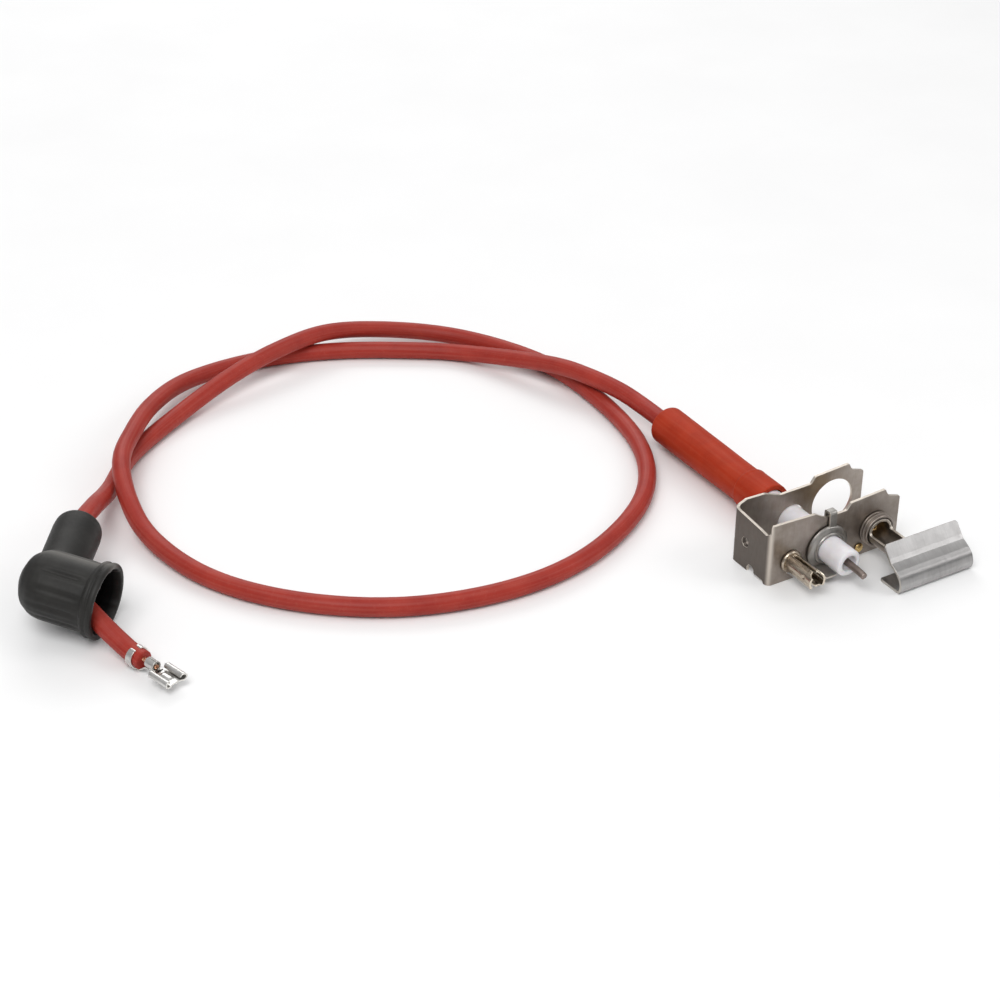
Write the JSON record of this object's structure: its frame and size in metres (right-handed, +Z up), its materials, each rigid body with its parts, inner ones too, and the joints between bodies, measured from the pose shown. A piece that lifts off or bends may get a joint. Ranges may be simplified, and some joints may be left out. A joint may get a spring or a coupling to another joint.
{
  "type": "ignition electrode",
  "caption": "Spark ignition electrode in a gas pilot bracket with burner tube, flame hood and sensor clip, on a silicone high-voltage lead with an angled rubber boot and push-on terminal.",
  "frame": {"origin": "middle of the footprint of the bracket, hood and sleeve, on the surface the bracket stands on", "axes": "-Y the way the electrode tip and flame hood point, +Y along the sleeve towards the lead, +X from the bracket's web towards its open side, +Z up"},
  "size_m": [0.2661, 0.2346, 0.0246],
  "materials": {
    "bracket_steel": "satin brown-grey passivated sheet steel",
    "galvanised_sheet": "satin zinc-coated sheet",
    "spring_steel": "bright rolled spring steel",
    "spring_nickel": "nickel-plated spring sheet, warm tone",
    "tin_plate": "bright tin plate",
    "heat_resisting_wire": "dull heat-resisting alloy wire",
    "brass": "machined brass",
    "copper_strand": "stranded copper",
    "white_ceramic": "white alumina, satin glaze",
    "cement": "matt refractory cement and fibre",
    "sleeve_silicone": "satin orange-red silicone",
    "lead_silicone": "satin brick-red silicone",
    "boot_rubber": "matt black moulded rubber"
  },
  "bodies": {
    "pilot_assembly": {"bracket": "bracket_steel", "sensor_clip": "spring_nickel", "ceramic_insulator": "white_ceramic", "ceramic_washer": "cement", "ceramic_retaining_clip": "spring_steel", "electrode_rod": "heat_resisting_wire", "rod_cement": "cement", "splice_ferrule": "tin_plate", "splice_conductor": "copper_strand", "burner_tube": "bracket_steel", "burner_collar": "bracket_steel", "burner_locknut": "brass", "gas_inlet": "brass", "pilot_orifice": "brass", "flame_hood": "galvanised_sheet", "plate_rivet": "brass", "hood_rivet": "spring_steel", "lead_jacket": "lead_silicone", "push_on_terminal": "tin_plate", "terminal_conductor": "copper_strand"},
    "sleeve": {"insulating_sleeve": "sleeve_silicone"},
    "boot": {"angle_boot": "boot_rubber"}
  },
  "joints": [
    {"name": "sleeve_slide", "type": "slide", "parent": "pilot_assembly", "child": "sleeve", "axis": [0, 1, 0], "range_m": [-0.008, 0.01]},
    {"name": "boot_slide", "type": "slide", "parent": "pilot_assembly", "child": "boot", "axis": [-0.5756, -0.816, -0.0523], "range_m": [0, 0.003]}
  ]
}
